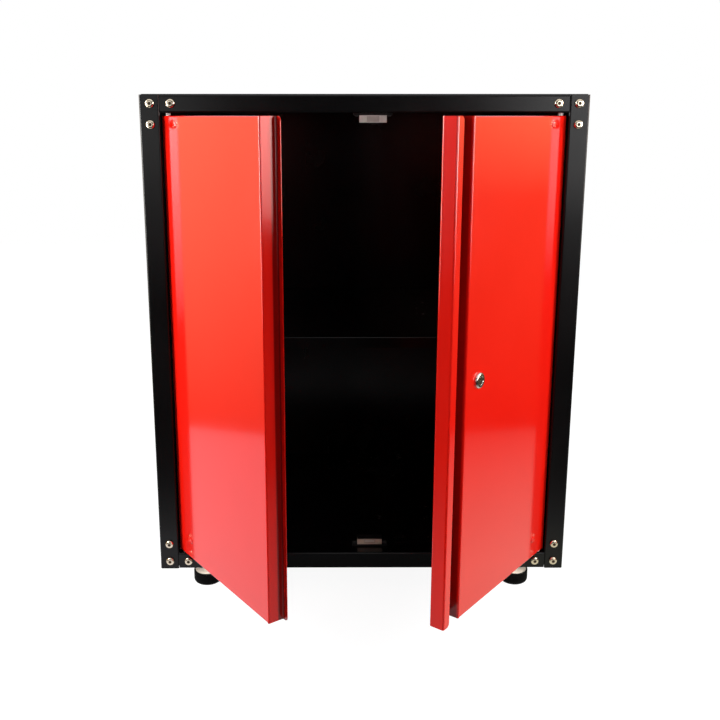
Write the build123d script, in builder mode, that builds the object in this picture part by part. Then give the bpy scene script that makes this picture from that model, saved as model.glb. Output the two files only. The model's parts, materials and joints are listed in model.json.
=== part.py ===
from build123d import *
import os

os.makedirs("parts", exist_ok=True)

# A two-door steel workshop cabinet. X runs to the right, Y to the back, Z up, in millimetres.
# The origin is on the floor, under the middle of the cabinet body.

# Cabinet body
cabinet_width = 680.0
cabinet_depth = 460.0
frame_height = 780.0
foot_stand_off = 45.0

# Sheet metal: thickness, and the outside radius of a fold
frame_sheet = 1.5
frame_bend = 3.0
panel_sheet = 1.0
panel_bend = 2.0
door_sheet = 1.0
door_bend = 2.0

# Posts and rails
post_face = 31.0
post_side = 40.0
jamb_depth = 26.0
rail_face = 28.0
rail_flange = 30.0
sill_flange = 50.0
foot_flange = 70.0
seam_gap = 0.3

# Panels
top_setback = 2.5
top_corner_radius = 3.0
panel_edge_gap = 3.0
panel_flange = 15.0
panel_clearance = 0.3
floor_front_gap = 40.0

# Bolted front corners
bolt_from_side = 16.5
bolt_from_end = 14.0
bolt_pitch = 31.0
bolt_radius = 4.0
bolt_hole_radius = 4.3
bolt_head_radius = 7.0
bolt_crown_radius = 4.4
bolt_head_height = 4.4
bolt_length = 9.0
gusset_sheet = 5.0
gusset_gap = 0.5
gusset_sill_gap = 2.2
gusset_margin = 13.0

# Doors
door_recess = 1.0
door_gap = 4.0
door_return = 24.0
left_door_width = 286.5
right_face_width = 279.5
right_door_width = 320.5
lip_width = 10.5
lip_depth = 25.0
channel_depth = 22.8
channel_strip = 15.3
strip_corner_radius = 6.0
door_flange = 22.0
door_relief = 2.6
left_rest_angle = 54.4
right_rest_angle = 51.7

# Pivot hinges
pivot_from_edge = 7.0
pivot_from_face = 7.0
pin_radius = 3.0
pin_clearance = 0.05
bush_radius = 4.0
bush_clearance = 0.1
bush_rise = 1.5
thrust_gap = 0.3
hinge_plate_sheet = 2.0
hinge_plate_bend = 3.0
hinge_plate_start = 3.0
hinge_plate_length = 53.0
hinge_plate_depth = 18.0
hinge_plate_margin = 12.0
stud_from_edge = 43.0
top_stud_drop = 13.0
bottom_stud_rise = 32.0
stud_radius = 5.0
stud_height = 1.6
stud_taper = 50.0

# Cylinder lock on the right door
lock_from_edge = 244.0
lock_level = 386.5
lock_head_radius = 11.5
lock_head_height = 4.0
lock_head_chamfer = 1.6
lock_barrel_radius = 9.0
lock_barrel_length = 26.0
lock_hole_clearance = 0.3
lock_nut_radius = 13.5
lock_nut_height = 4.0
plug_radius = 6.0
plug_sink = 0.6
plug_tail_side = 8.0
keyway_width = 1.6
keyway_height = 7.0
keyway_depth = 6.0
cam_sheet = 2.5
cam_standoff = 1.0
cam_width = 16.0
cam_reach = 76.0
cam_screw_head_radius = 6.0
cam_screw_head_height = 2.0
cam_screw_radius = 2.0
cam_screw_length = 8.0
fit_clearance = 0.1

# Magnetic catches
catch_centre = 14.0
catch_width = 42.0
catch_height = 11.0
catch_depth = 14.0
catch_wall = 1.2
catch_base_height = 3.4
catch_ear = 9.0
catch_face_gap = 0.3
magnet_width = 19.0
magnet_clearance = 0.2
magnet_setback = 0.4

# Shelf
shelf_level = 395.0
shelf_lip = 18.0
shelf_side_gap = 3.0
shelf_back_gap = 6.0
shelf_front_gap = 4.0
rest_sheet = 1.5
rest_bend = 3.0
rest_length = 30.0
rest_leg = 13.0
rest_drop = 16.0
rest_inset = 70.0

# Levelling feet
foot_from_side = 73.0
foot_from_face = 45.0
foot_base_radius = 24.5
foot_base_height = 20.0
foot_disc_radius = 21.5
foot_disc_height = 2.0
foot_stem_radius = 5.0
foot_stem_above = 18.0
foot_nut_radius = 9.8
foot_nut_height = 8.0
foot_hole_radius = 5.6

# One overrun for every cut
overrun = 5.0

# Planes and levels that the pieces share
half_width = cabinet_width / 2
front_y = -cabinet_depth / 2
back_y = cabinet_depth / 2
frame_base = foot_stand_off
frame_top = foot_stand_off + frame_height
post_top = frame_top - panel_sheet
top_sill = frame_top - rail_face
bottom_sill = frame_base + rail_face
jamb_x = half_width - post_face
panel_outer_x = half_width - frame_sheet
panel_inner_x = panel_outer_x - panel_sheet
back_panel_back = back_y - frame_sheet
back_panel_front = back_panel_back - panel_sheet
floor_top = bottom_sill + panel_sheet
door_top = top_sill - door_gap
door_bottom = bottom_sill + door_gap
door_height = door_top - door_bottom
door_face_y = front_y + door_recess
hinge_edge_x = jamb_x - door_gap
pivot_x = hinge_edge_x - pivot_from_edge
pivot_y = door_face_y + pivot_from_face
channel_back_y = door_face_y + channel_depth + door_sheet
catch_face_y = channel_back_y + catch_face_gap
catch_y = catch_face_y + catch_depth / 2
cam_front = lip_depth + door_sheet + cam_standoff
cam_back = cam_front + cam_sheet
lock_z = frame_base + lock_level
shelf_top = frame_base + shelf_level
shelf_front_y = door_face_y + cam_back + shelf_front_gap
shelf_back_y = back_panel_front - shelf_back_gap
shelf_half_width = panel_inner_x - shelf_side_gap
foot_x = half_width - foot_from_side
foot_y = cabinet_depth / 2 - foot_from_face
left_side = -1
right_side = 1

front_face = Plane(origin=(0, front_y, 0), x_dir=(1, 0, 0), z_dir=(0, -1, 0))
back_face = Plane(origin=(0, back_y, 0), x_dir=(-1, 0, 0), z_dir=(0, 1, 0))
door_face = Plane(origin=(0, door_face_y, 0), x_dir=(1, 0, 0), z_dir=(0, -1, 0))


def save(piece, name):
    """Label a finished piece and write it under its own name."""
    piece.label = name
    export_step(piece, f"parts/{name}.step")


def mirrored(piece):
    """The same piece for the other side of the cabinet."""
    with BuildPart() as other:
        mirror(piece, about=Plane.YZ)
    return other.part


def bent_sheet(outline, thickness, bend, inside):
    """Section of folded sheet, drawn from the line of its outer skin."""
    with BuildSketch() as section:
        with BuildLine():
            FilletPolyline(*outline, radius=bend)
            offset(amount=thickness, side=inside)
        make_face()
    return section.sketch


def corner_bolts(side):
    """Front-view places of the bolts at the upper and lower corner of one side."""
    places = []
    for end, inwards in ((frame_top, -1), (frame_base, 1)):
        bolt_z = end + inwards * bolt_from_end
        bolt_x = half_width - bolt_from_side
        places.append((side * bolt_x, bolt_z))
        places.append((side * (bolt_x - bolt_pitch), bolt_z))
        places.append((side * bolt_x, bolt_z + inwards * bolt_pitch))
    return places


all_corner_bolts = corner_bolts(left_side) + corner_bolts(right_side)


# Front post: face, outer side and a jamb that stops short of the rails
with BuildPart() as front_left_post:
    with BuildSketch(Plane.XY.offset(frame_base)):
        add(bent_sheet(
            [
                (-half_width, front_y + post_side),
                (-half_width, front_y),
                (-jamb_x, front_y),
                (-jamb_x, front_y + jamb_depth),
            ],
            frame_sheet, frame_bend, Side.LEFT,
        ))
    extrude(amount=post_top - frame_base)
    with BuildSketch(front_face.offset(-frame_sheet)):
        with Locations((-jamb_x, frame_base)):
            Rectangle(2 * frame_bend, rail_face + door_gap, align=(Align.CENTER, Align.MIN))
        with Locations((-jamb_x, frame_top)):
            Rectangle(2 * frame_bend, rail_face + door_gap, align=(Align.CENTER, Align.MAX))
    extrude(amount=-(jamb_depth + overrun), mode=Mode.SUBTRACT)
    with BuildSketch(front_face):
        with Locations(*corner_bolts(left_side)):
            Circle(bolt_hole_radius)
    extrude(amount=-2 * frame_sheet, mode=Mode.SUBTRACT)
save(front_left_post.part, "front_left_post")
save(mirrored(front_left_post.part), "front_right_post")

# Rear post: a plain angle
with BuildPart() as rear_left_post:
    with BuildSketch(Plane.XY.offset(frame_base)):
        add(bent_sheet(
            [
                (-half_width, back_y - post_side),
                (-half_width, back_y),
                (-jamb_x, back_y),
            ],
            frame_sheet, frame_bend, Side.RIGHT,
        ))
    extrude(amount=post_top - frame_base)
save(rear_left_post.part, "rear_left_post")
save(mirrored(rear_left_post.part), "rear_right_post")

# Front top rail: a channel whose lower flange carries the pivots and the catch
rail_half = jamb_x - seam_gap
pivot_places = [(-pivot_x, pivot_y), (pivot_x, pivot_y)]
with BuildPart() as front_top_rail:
    with BuildSketch(Plane.YZ.offset(-rail_half)):
        add(bent_sheet(
            [
                (front_y + rail_flange, post_top),
                (front_y, post_top),
                (front_y, top_sill),
                (front_y + sill_flange, top_sill),
            ],
            frame_sheet, frame_bend, Side.LEFT,
        ))
    extrude(amount=2 * rail_half)
    with BuildSketch(front_face):
        with Locations(*all_corner_bolts):
            Circle(bolt_hole_radius)
    extrude(amount=-2 * frame_sheet, mode=Mode.SUBTRACT)
    with BuildSketch(Plane.XY.offset(top_sill)):
        with Locations(*pivot_places):
            Circle(bush_radius + bush_clearance)
    extrude(amount=2 * frame_sheet, mode=Mode.SUBTRACT)
save(front_top_rail.part, "front_top_rail")

# Front bottom rail: its deep lower flange carries the feet
front_foot_places = [(-foot_x, -foot_y), (foot_x, -foot_y)]
rear_foot_places = [(-foot_x, foot_y), (foot_x, foot_y)]
with BuildPart() as front_bottom_rail:
    with BuildSketch(Plane.YZ.offset(-rail_half)):
        add(bent_sheet(
            [
                (front_y + sill_flange, bottom_sill),
                (front_y, bottom_sill),
                (front_y, frame_base),
                (front_y + foot_flange, frame_base),
            ],
            frame_sheet, frame_bend, Side.LEFT,
        ))
    extrude(amount=2 * rail_half)
    with BuildSketch(front_face):
        with Locations(*all_corner_bolts):
            Circle(bolt_hole_radius)
    extrude(amount=-2 * frame_sheet, mode=Mode.SUBTRACT)
    with BuildSketch(Plane.XY.offset(bottom_sill)):
        with Locations(*pivot_places):
            Circle(bush_radius + bush_clearance)
    extrude(amount=-2 * frame_sheet, mode=Mode.SUBTRACT)
    with BuildSketch(Plane.XY.offset(frame_base)):
        with Locations(*front_foot_places):
            Circle(foot_hole_radius)
    extrude(amount=2 * frame_sheet, mode=Mode.SUBTRACT)
save(front_bottom_rail.part, "front_bottom_rail")

# Rear top rail: an angle under the top sheet
with BuildPart() as rear_top_rail:
    with BuildSketch(Plane.YZ.offset(-rail_half)):
        add(bent_sheet(
            [
                (back_y - rail_flange, post_top),
                (back_y, post_top),
                (back_y, top_sill),
            ],
            frame_sheet, frame_bend, Side.RIGHT,
        ))
    extrude(amount=2 * rail_half)
save(rear_top_rail.part, "rear_top_rail")

# Rear bottom rail: a channel under the floor panel
with BuildPart() as rear_bottom_rail:
    with BuildSketch(Plane.YZ.offset(-rail_half)):
        add(bent_sheet(
            [
                (back_y - sill_flange, bottom_sill),
                (back_y, bottom_sill),
                (back_y, frame_base),
                (back_y - foot_flange, frame_base),
            ],
            frame_sheet, frame_bend, Side.RIGHT,
        ))
    extrude(amount=2 * rail_half)
    with BuildSketch(Plane.XY.offset(frame_base)):
        with Locations(*rear_foot_places):
            Circle(foot_hole_radius)
    extrude(amount=2 * frame_sheet, mode=Mode.SUBTRACT)
save(rear_bottom_rail.part, "rear_bottom_rail")

# Side panel: laps inside the posts, with a flange under the top sheet and one at the bottom
panel_half_depth = cabinet_depth / 2 - frame_sheet - panel_edge_gap
with BuildPart() as left_side_panel:
    with BuildSketch(Plane.XZ.offset(-panel_half_depth)):
        add(bent_sheet(
            [
                (-panel_outer_x + panel_flange, post_top),
                (-panel_outer_x, post_top),
                (-panel_outer_x, frame_base),
                (-panel_outer_x + panel_flange, frame_base),
            ],
            panel_sheet, panel_bend, Side.LEFT,
        ))
    extrude(amount=2 * panel_half_depth)
save(left_side_panel.part, "left_side_panel")
save(mirrored(left_side_panel.part), "right_side_panel")

# Back panel: stands on the floor panel, inside the rear posts and the rear top rail
with BuildPart() as back_panel:
    with BuildSketch(back_face.offset(-frame_sheet)):
        with Locations((0, floor_top)):
            Rectangle(
                2 * (half_width - frame_bend - panel_clearance),
                post_top - frame_bend - floor_top,
                align=(Align.CENTER, Align.MIN),
            )
    extrude(amount=-panel_sheet)
save(back_panel.part, "back_panel")

# Top sheet: rests on the posts and on the flanges of the rails
with BuildPart() as top_panel:
    with BuildSketch(Plane.XY.offset(post_top)):
        RectangleRounded(
            cabinet_width - 2 * top_setback,
            cabinet_depth - 2 * top_setback,
            top_corner_radius,
        )
    extrude(amount=panel_sheet)
save(top_panel.part, "top_panel")

# Floor panel: lies on the upper flanges of the bottom rails, its sides folded down
floor_half = panel_inner_x - panel_clearance
floor_front_y = front_y + floor_front_gap
with BuildPart() as floor_panel:
    with BuildSketch(Plane.XZ.offset(-floor_front_y)):
        add(bent_sheet(
            [
                (-floor_half, floor_top - panel_flange),
                (-floor_half, floor_top),
                (floor_half, floor_top),
                (floor_half, floor_top - panel_flange),
            ],
            panel_sheet, panel_bend, Side.RIGHT,
        ))
    extrude(amount=floor_front_y - back_panel_back + panel_clearance)
save(floor_panel.part, "floor_panel")

# Shelf: a sheet with its front and back edge turned down, on four rests
with BuildPart() as shelf:
    with BuildSketch(Plane.YZ.offset(-shelf_half_width)):
        add(bent_sheet(
            [
                (shelf_front_y, shelf_top - shelf_lip),
                (shelf_front_y, shelf_top),
                (shelf_back_y, shelf_top),
                (shelf_back_y, shelf_top - shelf_lip),
            ],
            panel_sheet, panel_bend, Side.RIGHT,
        ))
    extrude(amount=2 * shelf_half_width)
save(shelf.part, "shelf")

shelf_underside = shelf_top - panel_sheet
with BuildPart() as shelf_rests:
    for rest_y in (shelf_front_y + rest_inset, shelf_back_y - rest_inset):
        with BuildSketch(Plane.XZ.offset(-rest_y + rest_length / 2)):
            add(bent_sheet(
                [
                    (-panel_inner_x, shelf_underside - rest_drop),
                    (-panel_inner_x, shelf_underside),
                    (-panel_inner_x + rest_leg, shelf_underside),
                ],
                rest_sheet, rest_bend, Side.RIGHT,
            ))
        extrude(amount=-rest_length)
    mirror(about=Plane.YZ)
save(shelf_rests.part, "shelf_rests")


def gusset(side, end, inwards):
    """One L-shaped plate behind the meeting of a post and a rail, tapped for its three bolts."""
    outer_x = panel_inner_x - gusset_gap
    rail_bolt_x = half_width - bolt_from_side - bolt_pitch
    end_z = end + inwards * (panel_sheet + frame_bend + gusset_gap)
    sill_z = end + inwards * (rail_face - frame_sheet - gusset_sill_gap)
    far_z = end + inwards * (bolt_from_end + bolt_pitch + gusset_margin)
    post_limit = jamb_x + frame_bend + gusset_gap
    with BuildPart() as plate:
        with BuildSketch(front_face.offset(-frame_sheet)):
            with BuildLine():
                Polyline(
                    (side * outer_x, end_z),
                    (side * (rail_bolt_x - gusset_margin), end_z),
                    (side * (rail_bolt_x - gusset_margin), sill_z),
                    (side * post_limit, sill_z),
                    (side * post_limit, far_z),
                    (side * outer_x, far_z),
                    close=True,
                )
            make_face()
            with Locations(*corner_bolts(side)):
                Circle(bolt_radius + fit_clearance, mode=Mode.SUBTRACT)
        extrude(amount=-gusset_sheet)
    return plate.part


with BuildPart() as corner_gussets:
    for side in (left_side, right_side):
        add(gusset(side, frame_top, -1))
        add(gusset(side, frame_base, 1))
save(corner_gussets.part, "corner_gussets")

# Button-head bolts at the front corners
with BuildPart() as corner_bolt:
    with BuildSketch(Plane.XZ):
        with BuildLine():
            Polyline(
                (0, bolt_head_height),
                (0, -bolt_length),
                (bolt_radius, -bolt_length),
                (bolt_radius, 0),
                (bolt_head_radius, 0),
                (bolt_crown_radius, bolt_head_height),
                close=True,
            )
        make_face()
    revolve(axis=Axis.Z)
with BuildPart(front_face) as front_corner_bolts:
    with Locations(*all_corner_bolts):
        add(corner_bolt.part)
save(front_corner_bolts.part, "front_corner_bolts")


def catch(sill, away):
    """Base, case and magnet of the catch that stands off one rail's flange."""
    base_plane = Plane.XY.offset(sill)
    case_plane = Plane.XY.offset(sill + away * catch_base_height)
    magnet_front = catch_face_y + magnet_setback
    with BuildPart() as base:
        with BuildSketch(base_plane):
            with Locations((catch_centre, catch_y)):
                Rectangle(catch_width + 2 * catch_ear, catch_depth)
        extrude(amount=away * catch_base_height)
    with BuildPart() as case:
        with BuildSketch(case_plane):
            with Locations((catch_centre, catch_y)):
                Rectangle(catch_width, catch_depth)
        extrude(amount=away * catch_height)
        with BuildSketch(case_plane.offset(away * catch_wall)):
            with Locations((catch_centre, catch_face_y)):
                Rectangle(
                    magnet_width + 2 * magnet_clearance,
                    2 * (catch_depth - catch_wall),
                )
        extrude(amount=away * (catch_height - 2 * catch_wall), mode=Mode.SUBTRACT)
    with BuildPart() as magnet:
        with BuildSketch(case_plane.offset(away * catch_wall)):
            with Locations((catch_centre, magnet_front)):
                Rectangle(
                    magnet_width,
                    catch_depth - catch_wall - magnet_setback,
                    align=(Align.CENTER, Align.MIN),
                )
        extrude(amount=away * (catch_height - 2 * catch_wall))
    return base.part, case.part, magnet.part


for place, sill, away in (("top", top_sill, -1), ("bottom", bottom_sill, 1)):
    catch_base, catch_case, catch_magnet = catch(sill, away)
    save(catch_base, f"{place}_catch_base")
    save(catch_case, f"{place}_catch_case")
    save(catch_magnet, f"{place}_catch_magnet")


def pivot_bush(sill, away, place):
    """Bush through a rail's flange, filling the gap above or below the door."""
    with BuildPart() as bush:
        with BuildSketch(Plane.XY.offset(sill - away * (frame_sheet + bush_rise))):
            with Locations(place):
                Circle(bush_radius)
                Circle(pin_radius + pin_clearance, mode=Mode.SUBTRACT)
        extrude(amount=away * (frame_sheet + bush_rise + door_gap - thrust_gap))
    return bush.part


with BuildPart() as pivot_bushes:
    for bush_place in pivot_places:
        add(pivot_bush(top_sill, -1, bush_place))
        add(pivot_bush(bottom_sill, 1, bush_place))
save(pivot_bushes.part, "pivot_bushes")


# Doors: every piece is drawn with the door shut, then swung to the angle it stands at
def door_point(side, along, behind):
    """Plan point of a shut door, from its hinge edge and its front face."""
    return (side * (hinge_edge_x - along), door_face_y + behind)


def swung(piece, side):
    """The piece of a shut door, turned about the pivots to where the door stands open."""
    rest_angle = left_rest_angle if side == left_side else right_rest_angle
    pivot = Axis((side * pivot_x, pivot_y, 0), (0, 0, 1))
    return piece.rotate(pivot, side * rest_angle)


fold_rise = 2 * door_bend


def fold_section(edge, inwards):
    """Section of the fold at the upper or lower edge of a door."""
    inside = Side.RIGHT if inwards < 0 else Side.LEFT
    return bent_sheet(
        [
            (door_face_y, edge + inwards * fold_rise),
            (door_face_y, edge),
            (door_face_y + door_flange, edge),
        ],
        door_sheet, door_bend, inside,
    )


def door_pan(side, outline, face_width):
    """Folded door skin: the plan section, then the folds along the upper and lower edge."""
    inside = Side.LEFT if side == left_side else Side.RIGHT
    start_x, _ = door_point(side, door_relief, 0)
    fold_length = face_width - 2 * door_relief
    fold_plane = Plane.YZ.offset(start_x)
    with BuildPart() as pan:
        with BuildSketch(Plane.XY.offset(door_bottom)):
            add(bent_sheet(outline, door_sheet, door_bend, inside))
        extrude(amount=door_height)
        with BuildSketch(fold_plane):
            with Locations((door_face_y, door_bottom), (door_face_y, door_top)):
                Rectangle(2 * door_flange, 2 * fold_rise)
        extrude(amount=-side * fold_length, mode=Mode.SUBTRACT)
        with BuildSketch(fold_plane):
            add(fold_section(door_top, -1))
            add(fold_section(door_bottom, 1))
        extrude(amount=-side * fold_length)
        with BuildSketch(Plane.XY.offset(door_bottom - overrun)):
            with Locations((side * pivot_x, pivot_y)):
                Circle(pin_radius + fit_clearance)
        extrude(amount=door_height + 2 * overrun, mode=Mode.SUBTRACT)
        with BuildSketch(door_face):
            with Locations(*stud_places(side)):
                Circle(stud_radius)
        extrude(amount=stud_height, taper=stud_taper)
    return pan.part


def stud_places(side):
    """Front-view places of the two painted stud heads that hold a door's hinge plates."""
    stud_x = side * (hinge_edge_x - stud_from_edge)
    return [
        (stud_x, door_top - top_stud_drop),
        (stud_x, door_bottom + bottom_stud_rise),
    ]


# Left door: its free edge steps back into a lip that the right door overlaps
left_outline = [
    door_point(left_side, 0, door_return),
    door_point(left_side, 0, 0),
    door_point(left_side, left_door_width, 0),
    door_point(left_side, left_door_width, lip_depth),
    door_point(left_side, left_door_width + lip_width, lip_depth),
]
with BuildPart() as left_door_panel:
    add(door_pan(left_side, left_outline, left_door_width))
    lip_corners = left_door_panel.edges().filter_by(Axis.Y).sort_by(Axis.X)[-2:]
    fillet(lip_corners, strip_corner_radius)
save(swung(left_door_panel.part, left_side), "left_door_panel")

# Right door: its free edge is folded into an open channel for the fingers
channel_far = right_door_width - door_sheet
right_outline = [
    door_point(right_side, 0, door_return),
    door_point(right_side, 0, 0),
    door_point(right_side, right_face_width, 0),
    door_point(right_side, right_face_width, channel_depth),
    door_point(right_side, channel_far, channel_depth),
    door_point(right_side, channel_far, door_sheet),
    door_point(right_side, right_door_width - channel_strip, door_sheet),
]
lock_x = hinge_edge_x - lock_from_edge
strip_end_x = hinge_edge_x - right_door_width + channel_strip
with BuildPart() as right_door_panel:
    add(door_pan(right_side, right_outline, right_face_width))
    strip_corners = right_door_panel.edges().filter_by(Axis.Y).filter_by_position(
        Axis.X, strip_end_x - door_sheet, strip_end_x + door_sheet
    )
    fillet(strip_corners, strip_corner_radius)
    with BuildSketch(door_face):
        with Locations((lock_x, lock_z)):
            Circle(lock_barrel_radius + lock_hole_clearance)
    extrude(amount=-2 * door_sheet, mode=Mode.SUBTRACT)
save(swung(right_door_panel.part, right_side), "right_door_panel")


def hinge_plate(side, edge, inwards, stud_distance):
    """Angle plate inside one hinge corner of a door, with its pivot pin welded on."""
    inside = Side.RIGHT if inwards < 0 else Side.LEFT
    start_x, _ = door_point(side, hinge_plate_start, 0)
    inner_edge = edge + inwards * door_sheet
    far_edge = edge + inwards * (stud_distance + hinge_plate_margin)
    pin_end = edge - inwards * (door_gap + frame_sheet + bush_rise)
    with BuildPart() as plate:
        with BuildSketch(Plane.YZ.offset(start_x)):
            add(bent_sheet(
                [
                    (door_face_y + door_sheet, far_edge),
                    (door_face_y + door_sheet, inner_edge),
                    (door_face_y + door_sheet + hinge_plate_depth, inner_edge),
                ],
                hinge_plate_sheet, hinge_plate_bend, inside,
            ))
        extrude(amount=-side * hinge_plate_length)
        with BuildSketch(Plane.XY.offset(inner_edge)):
            with Locations((side * pivot_x, pivot_y)):
                Circle(pin_radius)
        extrude(amount=pin_end - inner_edge)
    return plate.part


for side, name in ((left_side, "left"), (right_side, "right")):
    with BuildPart() as hinge_plates:
        add(hinge_plate(side, door_top, -1, top_stud_drop))
        add(hinge_plate(side, door_bottom, 1, bottom_stud_rise))
    save(swung(hinge_plates.part, side), f"{name}_hinge_plates")


# Cylinder lock: local Z points out of the door's face
lock_plane = Plane(origin=(lock_x, door_face_y, lock_z), x_dir=(1, 0, 0), z_dir=(0, -1, 0))
with BuildPart() as lock_housing:
    with BuildSketch(lock_plane):
        Circle(lock_head_radius)
    extrude(amount=lock_head_height)
    chamfer(lock_housing.edges().sort_by(Axis.Y)[0], lock_head_chamfer)
    with BuildSketch(lock_plane):
        Circle(lock_barrel_radius)
    extrude(amount=-lock_barrel_length)
    with BuildSketch(lock_plane.offset(-lock_barrel_length)):
        Circle(plug_radius + pin_clearance)
    extrude(amount=lock_barrel_length + lock_head_height, mode=Mode.SUBTRACT)
save(swung(lock_housing.part, right_side), "lock_housing")

with BuildPart() as lock_nut:
    with BuildSketch(lock_plane.offset(-door_sheet)):
        RegularPolygon(lock_nut_radius, 6)
        Circle(lock_barrel_radius + fit_clearance, mode=Mode.SUBTRACT)
    extrude(amount=-lock_nut_height)
save(swung(lock_nut.part, right_side), "lock_nut")

with BuildPart() as lock_plug:
    with BuildSketch(lock_plane.offset(-cam_front)):
        Circle(plug_radius)
    extrude(amount=cam_front + lock_head_height - plug_sink)
    with BuildSketch(lock_plane.offset(-cam_front)):
        Rectangle(plug_tail_side, plug_tail_side)
    extrude(amount=-cam_sheet)
    with BuildSketch(lock_plane.offset(lock_head_height)):
        Rectangle(keyway_width, keyway_height)
    extrude(amount=-keyway_depth, mode=Mode.SUBTRACT)
    with BuildSketch(lock_plane.offset(-cam_back)):
        Circle(cam_screw_radius + fit_clearance)
    extrude(amount=cam_screw_length, mode=Mode.SUBTRACT)
save(swung(lock_plug.part, right_side), "lock_plug")

cam_slot = cam_reach - cam_width / 2
with BuildPart() as lock_cam:
    with BuildSketch(lock_plane.offset(-cam_front)):
        with Locations((0, -cam_slot / 2)):
            SlotCenterToCenter(cam_slot, cam_width, rotation=90)
        Rectangle(
            plug_tail_side + fit_clearance,
            plug_tail_side + fit_clearance,
            mode=Mode.SUBTRACT,
        )
    extrude(amount=-cam_sheet)
save(swung(lock_cam.part, right_side), "lock_cam")

with BuildPart() as cam_screw:
    with BuildSketch(lock_plane.offset(-cam_back)):
        Circle(cam_screw_head_radius)
    extrude(amount=-cam_screw_head_height)
    with BuildSketch(lock_plane.offset(-cam_back)):
        Circle(cam_screw_radius)
    extrude(amount=cam_screw_length - fit_clearance)
save(swung(cam_screw.part, right_side), "cam_screw")

# Levelling feet: base, disc with its stem, and the weld nut on the rail
with BuildPart() as foot_base:
    with BuildSketch(Plane.XY):
        Circle(foot_base_radius)
    extrude(amount=foot_base_height)

with BuildPart() as foot_stem:
    with BuildSketch(Plane.XY.offset(foot_base_height)):
        Circle(foot_disc_radius)
    extrude(amount=foot_disc_height)
    with BuildSketch(Plane.XY.offset(foot_base_height)):
        Circle(foot_stem_radius)
    extrude(amount=frame_base + foot_stem_above - foot_base_height)

foot_places = {
    "front_left": front_foot_places[0],
    "front_right": front_foot_places[1],
    "rear_left": rear_foot_places[0],
    "rear_right": rear_foot_places[1],
}
for name, place in foot_places.items():
    with BuildPart() as placed_base:
        with Locations(place):
            add(foot_base.part)
    save(placed_base.part, f"{name}_foot_base")
    with BuildPart() as placed_stem:
        with Locations(place):
            add(foot_stem.part)
    save(placed_stem.part, f"{name}_foot_stem")

with BuildPart() as foot_nuts:
    with BuildSketch(Plane.XY.offset(frame_base + frame_sheet)):
        with Locations(*foot_places.values()):
            RegularPolygon(foot_nut_radius, 6)
            Circle(foot_stem_radius + pin_clearance, mode=Mode.SUBTRACT)
    extrude(amount=foot_nut_height)
save(foot_nuts.part, "foot_nuts")
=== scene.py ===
import json
import math

import bmesh
import bpy
from mathutils import Matrix, Vector


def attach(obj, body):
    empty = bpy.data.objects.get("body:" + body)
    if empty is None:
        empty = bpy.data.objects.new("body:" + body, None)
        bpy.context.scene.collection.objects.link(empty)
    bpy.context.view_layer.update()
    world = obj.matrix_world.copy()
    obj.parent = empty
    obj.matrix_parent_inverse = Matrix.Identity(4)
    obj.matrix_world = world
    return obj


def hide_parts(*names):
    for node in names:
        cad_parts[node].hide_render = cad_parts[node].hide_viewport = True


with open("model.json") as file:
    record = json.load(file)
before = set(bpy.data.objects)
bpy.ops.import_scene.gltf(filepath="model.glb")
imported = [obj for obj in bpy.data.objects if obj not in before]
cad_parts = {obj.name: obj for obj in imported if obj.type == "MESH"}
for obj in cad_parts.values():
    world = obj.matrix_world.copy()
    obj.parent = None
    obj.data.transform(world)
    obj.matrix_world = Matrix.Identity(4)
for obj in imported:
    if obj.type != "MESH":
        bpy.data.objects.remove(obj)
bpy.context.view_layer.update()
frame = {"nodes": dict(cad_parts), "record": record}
nodes = frame["nodes"]
scene = bpy.context.scene
scene.view_settings.view_transform = "Standard"

# Camera, fitted to the photograph
camera_place = (-0.0447, -1.6194, 0.7943)
camera_turn = (math.radians(77.08), 0.0, math.radians(-0.20))
camera_lens = 44.87
camera_sensor = 36.0
camera_shift = (0.0303, -0.0546)

# Cabinet frame, in metres
half_width = 0.340
front_y = -0.230
frame_base = 0.045
frame_top = 0.825
lower_sill = 0.073
upper_sill = 0.797

# Doors, and how far they stand open at rest
pivot_x = 0.298
pivot_y = -0.222
hinge_edge_x = 0.305
door_face_y = -0.229
door_bottom = 0.077
door_top = 0.793
left_rest_angle = math.radians(54.4)
right_rest_angle = math.radians(51.7)

# Recesses of the doors that get painted shade, from each pivot: near and far along the shut door, mouth
# and floor backwards
channel_near = -0.2718
channel_far = -0.2986
channel_mouth = -0.0062
channel_fade = 0.0040
channel_floor = 0.0158
lip_near = 0.2788
lip_far = 0.2832
lip_far_fade = 0.0012
lip_mouth = 0.0085
lip_fade = 0.0020
lip_floor = 0.0180
recess_skin = 0.0003
tone_edge = 0.0004

# Catches, with the painted shade on the lower case's crown and the painted highlight line on its magnet
catch_centre = 0.014
catch_ear_reach = 0.0255
catch_y = -0.1979
catch_base_height = 0.0034
crown_level = 0.0858
crown_edge = 0.0003
pole_level = 0.0822
pole_half_height = 0.0004
pole_edge = 0.0006
pole_half_length = 0.0080
pole_end_fade = 0.0010

# Levelling feet
foot_x = 0.267
foot_y = 0.185
foot_places = {
    "front_left_foot": (-foot_x, -foot_y),
    "front_right_foot": (foot_x, -foot_y),
    "rear_left_foot": (-foot_x, foot_y),
    "rear_right_foot": (foot_x, foot_y),
}

# Meshes
smooth_angle = math.radians(32.0)
merge_gap = 1e-6
nearly_upright = 0.9


def camera():
    """The photograph's viewpoint."""
    data = bpy.data.cameras.new("viewpoint")
    data.sensor_width = camera_sensor
    data.lens = camera_lens
    data.shift_x, data.shift_y = camera_shift
    viewpoint = bpy.data.objects.new("viewpoint", data)
    viewpoint.location = camera_place
    viewpoint.rotation_euler = camera_turn
    scene.collection.objects.link(viewpoint)
    scene.camera = viewpoint


def door_angle(side):
    """Turn of a door at rest; side is -1 for the left door and 1 for the right one."""
    return -left_rest_angle if side < 0 else right_rest_angle


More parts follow.
